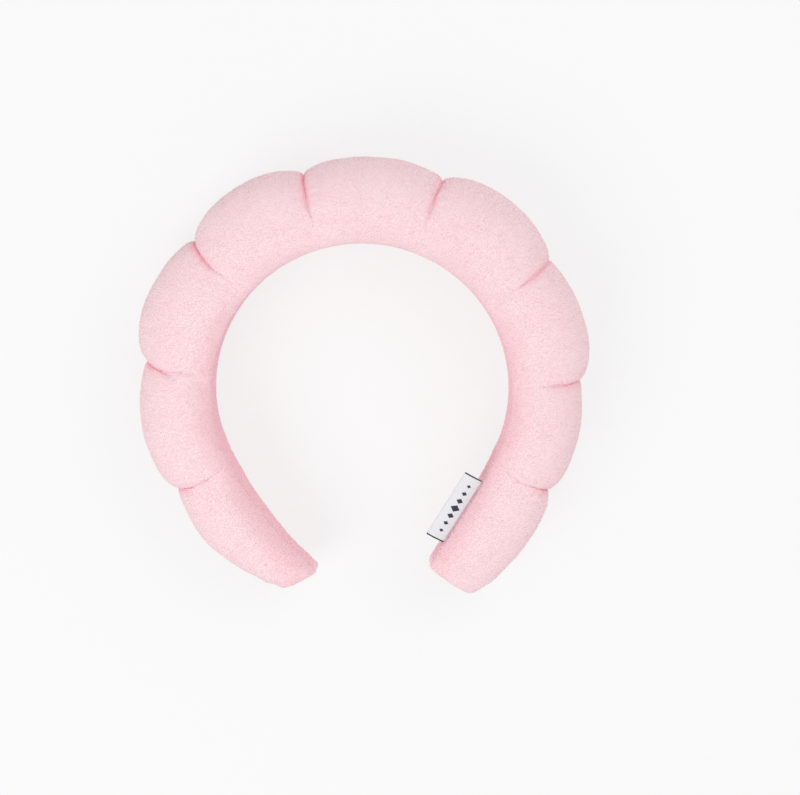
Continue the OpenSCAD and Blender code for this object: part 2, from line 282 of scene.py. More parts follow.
addEnd("left", 0)
addEnd("right", lastSegment)
for i in range(len(creaseList)):
    addCrease(i)
for i, full in enumerate(puffThick):
    s0, s1 = creaseS[i], creaseS[i + 1]
    steps = roll["arcSteps"]
    for j in range(steps + 1):
        phi = pi * j / steps
        along, rise = (1 - cos(phi)) / 2, sin(phi) ** roll["roundness"]
        s = mix(s0 + roll["foldGap"], s1 - roll["foldGap"], along)
        base = mix(creaseThick[i], creaseThick[i + 1], along)
        dip = roll["innerDip"] * (1 - rise)
        outer = mix(base, full, rise)
        inner = mix(base + roll["bandRise"] - dip, full, rise)
        addStation(s, i if j < steps / 2 else i + 1, outer, inner,
                   mix(roll["creaseHang"], roll["puffHang"], rise), roll["puffHang"] - dip)
stations.sort(key=lambda st: st["s"])
print("stations", len(stations), "section points", sectionCount)


def creaseBow(i, share):
    side, k = creaseList[i]
    sign = -1 if side == "left" else 1
    start = roll["bowStart"]
    return sign * roll["bow"][side][k] * sin(pi * min(1, max(0, (share - start) / (1 - start))))


def bowAt(s, share):
    # two puffs meet on a surface that bows away from the crown
    return sum(creaseBow(i, share) * exp(-((s - at) / roll["bowReach"]) ** 2)
               for i, at in enumerate(creaseS))


def stationPoint(st, j):
    half = liningHalf(st["s"])
    outer = section(st["outer"], half, st["hang"])[j]
    inner = section(st["inner"], half, st["innerHang"])[j]
    share = inner[0] / st["inner"]
    w = smooth((share - roll["bandEnd"]) / roll["bandFade"])
    n, z = mix(inner[0], outer[0], w), mix(inner[1], outer[1], w)
    middle = roll["widestAt"] * st["outer"]
    n, z = middle + (n - middle) * st["squeeze"][0], z * st["squeeze"][1]
    side = "left" if st["s"] < 0 else "right"
    sign = -1 if side == "left" else 1
    past = max(0, abs(st["s"]) - abs(creaseLength(side, 3))) / roll["armLength"][side]
    slant = -sign * roll["tipSlant"][side] * past ** 2 * n / st["outer"]
    point, out, ahead = lineFrame(st["s"])
    place = point + n * out + (slant + bowAt(st["s"], share)) * ahead
    return Vector((place.x * mm, place.y * mm, z * mm)) + headCentre


def buildRoll():
    # a flat grid wrapped into a closed tube
    bm = bmesh.new()
    rows = len(stations)
    bmesh.ops.create_grid(bm, x_segments=rows - 1, y_segments=sectionCount, size=1)
    segmentLayer = bm.faces.layers.int.new("segment")
    for name in ("station", "point"):
        bm.verts.layers.int.new(name)
    stationLayer, pointLayer = bm.verts.layers.int["station"], bm.verts.layers.int["point"]
    places = {}
    for vert in bm.verts:
        i = round((vert.co.x + 1) / 2 * (rows - 1))
        j = round((vert.co.y + 1) / 2 * sectionCount) % sectionCount
        vert[stationLayer], vert[pointLayer] = i, j
        places[vert] = (i, j)
    for face in bm.faces:
        i = min(places[v][0] for v in face.verts)
        face[segmentLayer] = stations[i + 1 if stations[i]["s"] < 0 else i]["segment"]
        if stations[i]["segment"] != stations[i + 1]["segment"]:
            face[segmentLayer] = stations[i + 1]["segment"]
    for vert, (i, j) in places.items():
        vert.co = stationPoint(stations[i], j)
    bmesh.ops.remove_doubles(bm, verts=bm.verts, dist=1e-7)
    bmesh.ops.holes_fill(bm, edges=[e for e in bm.edges if e.is_boundary], sides=0)
    bmesh.ops.recalc_face_normals(bm, faces=bm.faces)
    mesh = bpy.data.meshes.new("rollForm")
    bm.to_mesh(mesh)
    bm.free()
    return bpy.data.objects.new("rollForm", mesh)


def keepOffTable(co):
    lowest = roll["tableGap"] * mm
    return Vector((co.x, co.y, max(co.z, lowest)))


form = buildRoll()
scene.collection.objects.link(form)
for vert in form.data.vertices:
    vert.co = keepOffTable(vert.co)
print("roll form", len(form.data.vertices))


def inflate(obj):
    # pressure swells the cloth between its ties; the inner face and the tie lines hold it
    held = obj.vertex_groups.new(name="held")
    stationOf = [item.value for item in obj.data.attributes["station"].data]
    pointOf = [item.value for item in obj.data.attributes["point"].data]
    start = [v.co.copy() for v in obj.data.vertices]
    for v in obj.data.vertices:
        st = stations[stationOf[v.index]]
        j = pointOf[v.index]
        inPoint = min(j, sectionCount - j)
        if inPoint <= 3 or (st["nearCrease"] is not None and inPoint > 8) or st["squeeze"] != (1, 1):
            held.add([v.index], 1.0, "REPLACE")
    pad = obj.modifiers.new("swell", "CLOTH")
    fabric = pad.settings
    fabric.quality = cloth["quality"]
    fabric.mass = cloth["mass"]
    fabric.tension_stiffness = fabric.compression_stiffness = cloth["tension"]
    fabric.shear_stiffness = cloth["shear"]
    fabric.bending_stiffness = cloth["bending"]
    fabric.use_pressure = True
    fabric.uniform_pressure_force = cloth["pressure"]
    fabric.shrink_min = cloth["slack"]
    fabric.vertex_group_mass = "held"
    fabric.effector_weights.gravity = 0
    pad.point_cache.frame_start, pad.point_cache.frame_end = 1, cloth["frames"]
    for f in range(1, cloth["frames"] + 1):
        scene.frame_set(f)
    dg = bpy.context.evaluated_depsgraph_get()
    swollen = [v.co.copy() for v in obj.evaluated_get(dg).data.vertices]
    obj.modifiers.remove(pad)
    scene.frame_set(1)
    moved = 0
    for v, before, after in zip(obj.data.vertices, start, swollen):
        step = after - before
        moved = max(moved, step.length)
        inPoint = min(pointOf[v.index], sectionCount - pointOf[v.index])
        free = mix(cloth["leastSwell"], 1, smooth((inPoint - 5) / 6))
        most = cloth["mostSwell"] * mm * free
        if step.length > most:
            step *= most / step.length
        v.co = keepOffTable(before + step)
    print("most swell before the cap, mm", round(moved * 1000, 2))


inflate(form)
print("cloth settled")
tieLines = {}
for v, stationItem, pointItem in zip(form.data.vertices, form.data.attributes["station"].data,
                                     form.data.attributes["point"].data):
    crease = stations[stationItem.value]["nearCrease"]
    if crease is not None:
        tieLines.setdefault(crease, {})[pointItem.value] = v.co.copy()


def creaseNearness(co):
    # distance along the roll to the nearest crease, in mm, and how far out the point is, in mm
    flat = Vector((co.x - headCentre.x, co.y - headCentre.y)) / mm
    best = (1e9, 0, 0)
    for i, (side, k) in enumerate(creaseList):
        point, out, ahead = lineFrame(creaseS[i])
        d = (flat - point).dot(ahead)
        n = (flat - point).dot(out)
        if n > -12 and abs(d) < abs(best[0]) and n < 60:
            best = (d, n, i)
    return best


def finishSurface(obj):
    # finer mesh, then gathers at the creases and a slight unevenness
    finer = obj.modifiers.new("fine", "SUBSURF")
    finer.levels = finer.render_levels = 2
    dg = bpy.context.evaluated_depsgraph_get()
    mesh = bpy.data.meshes.new_from_object(obj.evaluated_get(dg))
    obj.modifiers.clear()
    old, obj.data = obj.data, mesh
    bpy.data.meshes.remove(old)
    normals = [v.normal.copy() for v in mesh.vertices]
    shadeValues, pileValues = [], []
    for v, normal in zip(mesh.vertices, normals):
        co = v.co.copy()
        d, n, i = creaseNearness(co)
        side = creaseList[i][0]
        out = smooth((n - cloth["gatherStart"]) / cloth["gatherFade"])
        near = exp(-(d / cloth["gatherReach"]) ** 2)
        half = liningHalf(creaseS[i] + d)
        onCrease = d - creaseBow(i, n / (creaseThick[i] + roll["bandRise"]))
        theta = atan2(co.z - headCentre.z, (n - 14) * mm)
        wave = theta * cloth["gatherCount"] / 2
        ripple = noise.noise(Vector((wave, d * 0.06, i * 7.3)))
        ripple += 0.5 * noise.noise(Vector((wave * 2.1, d * 0.1, i * 3.7 + 9)))
        lift = cloth["gathers"] * ripple * near * out * (1 - exp(-(d / 1.2) ** 2))
        uneven, (broad, fine) = cloth["unevenness"], cloth["unevenScales"]
        lift += uneven * noise.noise(co * broad) + 0.5 * uneven * noise.noise(co * fine)
        v.co = keepOffTable(co + normal * lift * mm)
        # painted shade: the crease colour darkens the valleys of the creases, where shade falls
        strength = cloth["creaseShadePaint"][side] * smooth((n - cloth["shadePaintStart"]) / 12)
        # painted shade: the cover by the lining on the arms, away from the crown, takes the crease colour
        innerShadeShare = cloth["innerShadePaint"] * smooth((9 - n) / 9) * smooth((abs(creaseS[i] + d) - 30) / 60)
        shadeValues.append(max(innerShadeShare, strength * exp(-(onCrease / cloth["shadePaintReach"]) ** 2)))
        inner = abs(co.z - headCentre.z) / mm < half - 0.3 and n < 1.2
        pileValues.append(0.0 if inner else 1.0)
    # the first attribute holds the share of painted shade the cloth shader mixes in
    for name, values in (("paintedShade", shadeValues), ("pileOn", pileValues)):
        mesh.attributes.new(name, "FLOAT", "POINT")
        mesh.attributes[name].data.foreach_set("value", values)
    mesh.update()


finishSurface(form)
print("fine roll", len(form.data.vertices))


def newTree(name):
    tree = bpy.data.node_groups.new(name, "GeometryNodeTree")
    tree.interface.new_socket("Geometry", in_out="INPUT", socket_type="NodeSocketGeometry")
    tree.interface.new_socket("Geometry", in_out="OUTPUT", socket_type="NodeSocketGeometry")
    return tree


def makeLoop():
    # one loop of the terry, a small leaning bead
    bm = bmesh.new()
    bmesh.ops.create_icosphere(bm, subdivisions=1, radius=pile["loopRadius"] * mm)
    tall = pile["loopLength"] / pile["loopRadius"] / 1.6
    bmesh.ops.scale(bm, verts=bm.verts, vec=(1, 0.8, tall))
    bmesh.ops.translate(bm, verts=bm.verts, vec=(0, 0, pile["lift"] * mm))
    for face in bm.faces:
        face.smooth = True
    mesh = bpy.data.meshes.new("terryLoop")
    bm.to_mesh(mesh)
    bm.free()
    return bpy.data.objects.new("terryLoop", mesh)


def growPile(obj, loop, seed):
    tree = newTree("terryPile")
    nodes, links = tree.nodes, tree.links
    start, end = nodes.new("NodeGroupInput"), nodes.new("NodeGroupOutput")
    scatter = nodes.new("GeometryNodeDistributePointsOnFaces")
    scatter.distribute_method = "POISSON"
    scatter.inputs["Distance Min"].default_value = pile["spacing"] * mm
    scatter.inputs["Density Max"].default_value = pile["density"] * 1e6
    scatter.inputs["Seed"].default_value = seed
    onFace = nodes.new("GeometryNodeInputNamedAttribute")
    onFace.data_type = "FLOAT"
    onFace.inputs["Name"].default_value = "pileOn"
    links.new(onFace.outputs["Attribute"], scatter.inputs["Density Factor"])
    turn = nodes.new("FunctionNodeRandomValue")
    turn.data_type = "FLOAT_VECTOR"
    lean = pile["lean"]
    turn.inputs[0].default_value = (-lean, -lean, -pi)
    turn.inputs[1].default_value = (lean, lean, pi)
    rotate = nodes.new("FunctionNodeRotateRotation")
    rotate.rotation_space = "LOCAL"
    size = nodes.new("FunctionNodeRandomValue")
    size.data_type = "FLOAT_VECTOR"
    size.inputs[0].default_value = pile["smallest"]
    size.inputs[1].default_value = pile["largest"]
    info = nodes.new("GeometryNodeObjectInfo")
    info.inputs["Object"].default_value = loop
    instance = nodes.new("GeometryNodeInstanceOnPoints")
    realize = nodes.new("GeometryNodeRealizeInstances")
    join = nodes.new("GeometryNodeJoinGeometry")
    links.new(start.outputs[0], scatter.inputs["Mesh"])
    links.new(scatter.outputs["Points"], instance.inputs["Points"])
    links.new(scatter.outputs["Rotation"], rotate.inputs["Rotation"])
    links.new(turn.outputs[0], rotate.inputs["Rotate By"])
    links.new(rotate.outputs[0], instance.inputs["Rotation"])
    links.new(size.outputs[0], instance.inputs["Scale"])
    links.new(info.outputs["Geometry"], instance.inputs["Instance"])
    links.new(instance.outputs[0], realize.inputs[0])
    links.new(realize.outputs[0], join.inputs[0])
    links.new(start.outputs[0], join.inputs[0])
    links.new(join.outputs[0], end.inputs[0])
    grow = obj.modifiers.new("pile", "NODES")
    grow.node_group = tree
    dg = bpy.context.evaluated_depsgraph_get()
    mesh = bpy.data.meshes.new_from_object(obj.evaluated_get(dg))
    obj.modifiers.clear()
    old, obj.data = obj.data, mesh
    bpy.data.meshes.remove(old)
    bpy.data.node_groups.remove(tree)


def surfaceMaterial(name, color, rough):
    mat = bpy.data.materials.new(name)
    mat.use_nodes = True
    shader = mat.node_tree.nodes["Principled BSDF"]
    shader.inputs["Base Color"].default_value = (*color, 1)
    shader.inputs["Roughness"].default_value = rough
    return mat, mat.node_tree.nodes, mat.node_tree.links, shader


def mixedColor(nodes, links, factor, dark, light):
    ramp = nodes.new("ShaderNodeMix")
    ramp.data_type = "RGBA"
    ramp.inputs["A"].default_value = (*dark, 1)
    ramp.inputs["B"].default_value = (*light, 1)
    links.new(factor, ramp.inputs["Factor"])
    return ramp.outputs["Result"]


def noiseAt(nodes, links, coordinates, scale, detail=3.0):
    tex = nodes.new("ShaderNodeTexNoise")
    tex.inputs["Scale"].default_value = scale
    tex.inputs["Detail"].default_value = detail
    links.new(coordinates, tex.inputs["Vector"])
    return tex.outputs["Fac"]


def addBump(nodes, links, shader, height, strength, distance):
    bump = nodes.new("ShaderNodeBump")
    bump.inputs["Strength"].default_value = strength
    bump.inputs["Distance"].default_value = distance
    links.new(height, bump.inputs["Height"])
    links.new(bump.outputs["Normal"], shader.inputs["Normal"])


terryLook = {
    "light": (0.905, 0.708, 0.738),
    "dark": (0.90, 0.648, 0.687),
    # painted shade colour, taken in the creases and on the lining's wall
    "crease": (0.96, 0.50, 0.58),
    "patches": 60,
    "grain": 1500,
}


def terryMaterial():
    mat, nodes, links, shader = surfaceMaterial("terryCloth", terryLook["light"], 0.95)
    place = nodes.new("ShaderNodeTexCoord").outputs["Object"]
    broad = noiseAt(nodes, links, place, terryLook["patches"])
    fine = noiseAt(nodes, links, place, terryLook["grain"], 2)
    both = nodes.new("ShaderNodeMath")
    both.operation = "MULTIPLY_ADD"
    links.new(broad, both.inputs[0])
    both.inputs[1].default_value = 0.5
    links.new(fine, both.inputs[2])
    spread = nodes.new("ShaderNodeMapRange")
    spread.inputs["From Min"].default_value = 0.45
    spread.inputs["From Max"].default_value = 1.0
    links.new(both.outputs[0], spread.inputs["Value"])
    plain = mixedColor(nodes, links, spread.outputs["Result"], terryLook["dark"], terryLook["light"])
    # painted shade: mixes the cloth towards the crease colour by the attribute that holds the painted
    # shade
    depth = nodes.new("ShaderNodeAttribute")
    depth.attribute_name = "paintedShade"
    deep = nodes.new("ShaderNodeMix")
    deep.data_type = "RGBA"
    links.new(depth.outputs["Fac"], deep.inputs["Factor"])
    links.new(plain, deep.inputs["A"])
    deep.inputs["B"].default_value = (*terryLook["crease"], 1)
    links.new(deep.outputs["Result"], shader.inputs["Base Color"])
    addBump(nodes, links, shader, fine, 0.35, 0.0002)
    shader.inputs["Sheen Weight"].default_value = 0.35
    shader.inputs["Sheen Roughness"].default_value = 0.5
    shader.inputs["Specular IOR Level"].default_value = 0.15
    return mat


terry = terryMaterial()
loop = makeLoop()


def blendPiece(piece, i):
    # bakes the piece's placement into its mesh; the crease's frame and pivot are worked out but not used
    side, k = creaseList[i]
    point, out, ahead = lineFrame(creaseS[i])
    pivot = pivotOf(side, k + 1)
    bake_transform(piece)


for i, (side, k) in enumerate(creaseList):
    bm = bmesh.new()
    bm.from_mesh(form.data)
    layer = bm.faces.layers.int["segment"]
    bmesh.ops.delete(bm, geom=[f for f in bm.faces if f[layer] != i], context="FACES")
    for face in bm.faces:
        face.smooth = True
    rim = [e for e in bm.edges if e.is_boundary]
    caps = bmesh.ops.holes_fill(bm, edges=rim, sides=0)["faces"]
    for face in caps:
        face.smooth = False
        for edge in face.edges:
            edge.smooth = False
    bmesh.ops.triangulate(bm, faces=caps)
    mesh = bpy.data.meshes.new(f"cover_{side}_{k + 1}")
    bm.to_mesh(mesh)
    bm.free()
    piece = bpy.data.objects.new(f"terryCover_{side}_{k + 1}", mesh)
    scene.collection.objects.link(piece)
    growPile(piece, loop, pile["seed"] + i)
    piece.data.materials.clear()
    piece.data.materials.append(terry)
    blendPiece(piece, i)
    nodes = [f"cover_{side}_{k + 1}"]
    if (side, k) == ("right", 0):
        nodes.append("cover_crown")
    if k == 3:
        nodes.append(f"end_fold_{side}")
    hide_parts(*nodes)
    print(piece.name, "triangles", sum(len(p.vertices) - 2 for p in piece.data.polygons))
bpy.data.objects.remove(form)


# Lining: a narrower strip of the same cloth on the inner face, crowned a little.
lining = {
    "proud": 0.6,  # how much its middle stands above its edges, in millimetres
    "tuck": 0.4,  # how far its edges sit back at the stitching
    "back": 1.0,
    "under": 0.6,  # how far its edges run under the cover
    "endGap": 3.4,  # how far from the tip it stops
    "unevenness": 0.16,
    "tint": 0.45,  # how much of the painted crease shade it takes, painted shade on the inner wall
    "step": 2.2,
    "across": 12,
    "seed": 27,
}


def segmentRange(i):
    # from the middle of one puff to the middle of the next; the last ones reach the tips
    gap = lining["endGap"]
    s0 = tipLength("left") + gap if i == 0 else (creaseS[i - 1] + creaseS[i]) / 2
    s1 = tipLength("right") - gap if i == lastSegment else (creaseS[i] + creaseS[i + 1]) / 2
    return s0, s1


def atLine(s, n, z, forward=0.0):
    point, out, ahead = lineFrame(s)
    place = point + n * out + forward * ahead
    return Vector((place.x * mm, place.y * mm, z * mm)) + headCentre


def wrappedGrid(rows, count, placeOf, name):
    # a flat grid rolled into a closed tube with closed ends
    bm = bmesh.new()
    bmesh.ops.create_grid(bm, x_segments=rows - 1, y_segments=count, size=1)
    for vert in bm.verts:
        i = round((vert.co.x + 1) / 2 * (rows - 1))
        j = round((vert.co.y + 1) / 2 * count) % count
        vert.co = placeOf(i, j)
    bmesh.ops.remove_doubles(bm, verts=bm.verts, dist=1e-7)
    for face in bm.faces:
        face.smooth = True
    caps = bmesh.ops.holes_fill(bm, edges=[e for e in bm.edges if e.is_boundary], sides=0)["faces"]
    for edge in {e for face in caps for e in face.edges}:
        edge.smooth = False
    bmesh.ops.recalc_face_normals(bm, faces=bm.faces)
    mesh = bpy.data.meshes.new(name)
    bm.to_mesh(mesh)
    bm.free()
    obj = bpy.data.objects.new(name, mesh)
    scene.collection.objects.link(obj)
    return obj


def addLining(i):
    side, k = creaseList[i]
    s0, s1 = segmentRange(i)
    rows = int((s1 - s0) / lining["step"]) + 2
    across = lining["across"]
    count = 2 * across

    def placeOf(row, j):
        s = mix(s0, s1, row / (rows - 1))
        half = liningHalf(s)
        if j <= across:
            share = 2 * j / across - 1
            n = lining["tuck"] - lining["proud"] * (1 - abs(share) ** 3)
            n += lining["unevenness"] * noise.noise(Vector((s * 0.35, share * 3, 4.0)))
        else:
            share = 1 - 2 * (j - across) / across
            n = lining["back"] - 0.5 * abs(share) ** 3
        return atLine(s, n, (half + lining["under"]) * share)

    obj = wrappedGrid(rows, count, placeOf, f"terryLining_{side}_{k + 1}")
    mesh = obj.data
    facing = []
    for v in mesh.vertices:
        flat = Vector((v.co.x, v.co.y, 0)) - Vector((headCentre.x, headCentre.y, 0))
        facing.append(1.0 if v.normal.dot(flat) < 0 else 0.0)
    # painted shade: the whole lining takes the same share of the crease colour
    for name, values in (("pileOn", facing), ("paintedShade", [lining["tint"]] * len(facing))):
        mesh.attributes.new(name, "FLOAT", "POINT")
        mesh.attributes[name].data.foreach_set("value", values)
    growPile(obj, loop, lining["seed"] + i)
    obj.data.materials.clear()
    obj.data.materials.append(terry)
    blendPiece(obj, i)
    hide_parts(f"lining_{side}_{k + 1}", *(["lining_crown"] if (side, k) == ("right", 0) else []))


for i in range(len(creaseList)):
    addLining(i)
bpy.data.objects.remove(loop)
print("lining made")

# Sewing thread: stitches along the lining's edges, the ties in the creases, and the sewn ends.
sewing = {
    "stitch": 2.3,
    "pitch": 3.1,
    "slope": 0.35,
    "sunk": 0.25,  # how far the edge stitches start behind the lining's face
    "radius": 0.2,
    "arch": 0.22,
    "tieRadius": 0.42,
    # whip stitches on the folded ends: how many, where as shares of the thickness, and their shape
    "endCount": 5,
    "endSpan": (0.26, 0.72),
    "endSlope": 0.5,
    "endHalf": 1.7,
    "endSunk": 0.15,
    "endArch": 0.75,
    "color": (0.96, 0.70, 0.74),
    "darkColor": (0.9, 0.58, 0.64),
    "twist": 1300,
}


def threadMaterial():
    mat, nodes, links, shader = surfaceMaterial("sewingThread", sewing["color"], 0.6)
    place = nodes.new("ShaderNodeTexCoord").outputs["Object"]
    twist = nodes.new("ShaderNodeTexWave")
    twist.bands_direction = "DIAGONAL"
    twist.inputs["Scale"].default_value = sewing["twist"]
    twist.inputs["Distortion"].default_value = 1.5
    links.new(place, twist.inputs["Vector"])
    links.new(mixedColor(nodes, links, twist.outputs["Fac"], sewing["darkColor"], sewing["color"]),
              shader.inputs["Base Color"])
    addBump(nodes, links, shader, twist.outputs["Fac"], 0.5, 0.0001)
    shader.inputs["Sheen Weight"].default_value = 0.2
    return mat


threadLook = threadMaterial()


def addStitch(bm, start, end, arch, radius):
    # a short thread from start to end that rises by arch in the middle
    along = end - start
    verts = bmesh.ops.create_uvsphere(bm, u_segments=6, v_segments=6, radius=1)["verts"]
    turn = along.to_track_quat("Z", "Y").to_matrix()
    for v in verts:
        t = v.co.z
        local = Vector((v.co.x * radius, v.co.y * radius, t * along.length / 2))
        v.co = start + along * 0.5 + turn @ local + arch * (1 - t * t)
    for f in {f for v in verts for f in v.link_faces}:
        f.smooth = True


def meshObject(bm, name, mat):
    bmesh.ops.recalc_face_normals(bm, faces=bm.faces)
    mesh = bpy.data.meshes.new(name)
    bm.to_mesh(mesh)
    bm.free()
    mesh.materials.append(mat)
    obj = bpy.data.objects.new(name, mesh)
    scene.collection.objects.link(obj)
    return obj


def addEdgeStitches(i):
    side, k = creaseList[i]
    s0, s1 = segmentRange(i)
    bm = bmesh.new()
    count = int((s1 - s0) / sewing["pitch"])
    for edge in (-1, 1):
        for q in range(count):
            s = s0 + (q + 0.5) * (s1 - s0) / count
            z = edge * liningHalf(s)
            a, b = s - sewing["stitch"] / 2, s + sewing["stitch"] / 2
            start = atLine(a, sewing["sunk"], z - sewing["slope"])
            end = atLine(b, sewing["sunk"], z + sewing["slope"])
            inward = atLine(s, -1, 0) - atLine(s, 0, 0)
            addStitch(bm, start, end, inward * sewing["arch"], sewing["radius"] * mm)
    obj = meshObject(bm, f"edgeStitches_{side}_{k + 1}", threadLook)
    blendPiece(obj, i)
    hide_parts(f"seam_{side}_{k + 1}", *(["seam_crown"] if (side, k) == ("right", 0) else []))


def addTie(i):
    # round the outer part of the roll in the crease, and straight back through the padding
    side, k = creaseList[i]
    line = tieLines[i]
    points = [line[j] for j in range(10, sectionCount - 9)]
    first, final = points[0], points[-1]
    points += [final.lerp(first, t) for t in (0.25, 0.5, 0.75)]
    curve = bpy.data.curves.new("tieThread", "CURVE")
    curve.dimensions = "3D"
    curve.bevel_depth = sewing["tieRadius"] * mm
    curve.bevel_resolution = 2
    spline = curve.splines.new("POLY")
    spline.points.add(len(points) - 1)
    for item, place in zip(spline.points, points):
        item.co = (*place, 1)
    spline.use_cyclic_u = True
    guide = bpy.data.objects.new("tieGuide", curve)
    scene.collection.objects.link(guide)
    mesh = bpy.data.meshes.new_from_object(guide.evaluated_get(bpy.context.evaluated_depsgraph_get()))
    bpy.data.objects.remove(guide)
    bm = bmesh.new()
    bm.from_mesh(mesh)
    bpy.data.meshes.remove(mesh)
    obj = meshObject(bm, f"tieThread_{side}_{k + 1}", threadLook)
    for face in obj.data.polygons:
        face.use_smooth = True
    blendPiece(obj, i)
    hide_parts(f"tie_{side}_{k + 1}")


def addEndStitches(side):
    # whip stitches that hold the folded end shut
    sign = -1 if side == "left" else 1
    bm = bmesh.new()
    thick = fromTable(roll["ends"][side], 0)
    s, half = tipLength(side), sewing["endHalf"]
    outward = (atLine(s, 0, 0, 1) - atLine(s, 0, 0)) * sign
    for q in range(sewing["endCount"]):
        n = mix(*sewing["endSpan"], q / (sewing["endCount"] - 1)) * thick
        forward = -sign * roll["tipSlant"][side] * n / thick - sign * sewing["endSunk"]
        start = atLine(s, n - sewing["endSlope"], -half, forward)
        end = atLine(s, n + sewing["endSlope"], half, forward)
        addStitch(bm, start, end, outward * sewing["endArch"], sewing["radius"] * mm)
    obj = meshObject(bm, f"endStitches_{side}", threadLook)
    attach(obj, f"{side}_4")


for i in range(len(creaseList)):
    addEdgeStitches(i)
    addTie(i)
for side in sideNames:
    addEndStitches(side)
print("sewing done")

# Woven label, folded in half along its free edge and sewn into the front seam
label = {
    "length": 29.6,
    "width": 8.4,
    "tilt": 14,
    "thickness": 0.26,
    "foldRadius": 0.55,
    "belly": 0.35,  # how far the upper layer arches
    "waves": ((0.12, 0.33, 0.6), (0.05, 0.9, 0)),  # height, turn per millimetre, shift
    "columns": 22,
    "border": (0.6, 0.32),  # at the end by the tip, and at the other
    "white": (0.86, 0.87, 0.89),
    "whiteShade": 0.84,
    "navy": (0.025, 0.03, 0.10),
    "navyShade": 0.5,
    "motif": [0.75, 0.95, 1.2, 1.65, 1.2, 0.95, 0.75],  # half sizes of a row of plain diamonds
    "motifPitch": 3.5,
    "motifRow": 4.1,  # from the seam
    "motifStretch": 1.35,
    "motifTaper": 0.86,
    "motifDepth": 0.09,
    "profileSteps": 12,
    "root": (0.35, 0.3),  # where the two layers start: how far from the seam, and half their distance
}


def ribbonMaterial(name, color, dark):
    mat, nodes, links, shader = surfaceMaterial(name, color, 0.5)
    weaveMap = nodes.new("ShaderNodeUVMap")
    weaveMap.uv_map = "weave"
    warp, weft = nodes.new("ShaderNodeTexWave"), nodes.new("ShaderNodeTexWave")
    warp.bands_direction, weft.bands_direction = "X", "Y"
    warp.inputs["Scale"].default_value = 1.1
    weft.inputs["Scale"].default_value = 1.7
    for wave in (warp, weft):
        links.new(weaveMap.outputs["UV"], wave.inputs["Vector"])
    both = nodes.new("ShaderNodeMath")
    both.operation = "MULTIPLY"
    links.new(warp.outputs["Fac"], both.inputs[0])
    links.new(weft.outputs["Fac"], both.inputs[1])
    # painted shade: the weave's low spots get the darker copy of the colour
    links.new(mixedColor(nodes, links, both.outputs[0], dark, color), shader.inputs["Base Color"])
    addBump(nodes, links, shader, both.outputs[0], 0.4, 0.00008)
    shader.inputs["Sheen Weight"].default_value = 0.15
    return mat


def labelProfile():
    # y from the seam outwards, z up, through the upper layer, the fold and the lower layer
    r, fold = label["foldRadius"], label["width"] - label["foldRadius"]
    steps, (near, gap) = label["profileSteps"], label["root"]
    upper, lower = [], []
    for i in range(steps + 1):
        rise = mix(gap, r, smooth(i / 9)) + label["belly"] * sin(pi * i / steps)
        upper.append((mix(near, fold, i / steps), rise))
        lower.append((mix(fold, near, i / steps), -mix(r, gap, smooth(i / steps))))
    bend = [(fold + r * sin(a), r * cos(a)) for a in [pi * q / 8 for q in range(1, 8)]]
    return upper + bend + lower


def labelFrame():
    hinge = joints["label_flap_hinge"]
    along = Vector(hinge["axis"]).normalized()
    flat = Vector((along.x, along.y, 0)).normalized()
    inward = Vector((-flat.y, flat.x, 0))
    up = along.cross(inward).normalized()
    tilt = radians(label["tilt"])
    outward = inward * cos(tilt) + up * sin(tilt)
    turn = Matrix((along, outward, along.cross(outward))).transposed().to_4x4()
    return Matrix.Translation(Vector(hinge["pos_m"])) @ turn


def labelTop(y):
    profile = labelProfile()[:label["profileSteps"] + 1]
    for (y0, z0), (y1, z1) in zip(profile, profile[1:]):
        if y0 <= y <= y1:
            return mix(z0, z1, (y - y0) / (y1 - y0))
    return profile[-1][1]


def labelWave(x, y):
    return sum(height * sin(x * rate + shift) * y / label["width"]
               for height, rate, shift in label["waves"])


def addLabel(white, navy):
    profile = labelProfile()
    half, columns = label["length"] / 2, label["columns"]
    first, final = label["border"][0] - half, half - label["border"][1]
    inner = [mix(first, final, q / columns) for q in range(columns + 1)]
    xs = [-half] + inner + [half]
    bm = bmesh.new()
    uvLayer = bm.loops.layers.uv.new("weave")
    bmesh.ops.create_grid(bm, x_segments=len(xs) - 1, y_segments=len(profile) - 1, size=1)
    where = {}
    for vert in bm.verts:
        i = round((vert.co.x + 1) / 2 * (len(xs) - 1))
        j = round((vert.co.y + 1) / 2 * (len(profile) - 1))
        where[vert] = (i, j)
    for face in bm.faces:
        touched = [where[v][0] for v in face.verts]
        face.material_index = 1 if max(touched) == 1 or min(touched) == len(xs) - 2 else 0
        face.smooth = True
        for corner in face.loops:
            i, j = where[corner.vert]
            corner[uvLayer].uv = (xs[i], j * 0.6)
    for vert, (i, j) in where.items():
        y, z = profile[j]
        vert.co = Vector((xs[i], y, z + labelWave(xs[i], y))) * mm
    bmesh.ops.recalc_face_normals(bm, faces=bm.faces)
    middle = min(bm.faces, key=lambda f: (f.calc_center_median() - Vector((0, 4, 1)) * mm).length)
    if middle.normal.z < 0:
        bmesh.ops.reverse_faces(bm, faces=bm.faces)
    bmesh.ops.transform(bm, matrix=labelFrame(), verts=bm.verts)
    mesh = bpy.data.meshes.new("wovenLabel")
    bm.to_mesh(mesh)
    bm.free()
    obj = bpy.data.objects.new("wovenLabel", mesh)
    scene.collection.objects.link(obj)
    for mat in (white, navy, navy):
        mesh.materials.append(mat)
    wall = obj.modifiers.new("ribbon", "SOLIDIFY")
    wall.thickness = label["thickness"] * mm
    wall.offset = -1
    wall.material_offset = wall.material_offset_rim = 1
    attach(obj, "label_flap")
    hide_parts("label")


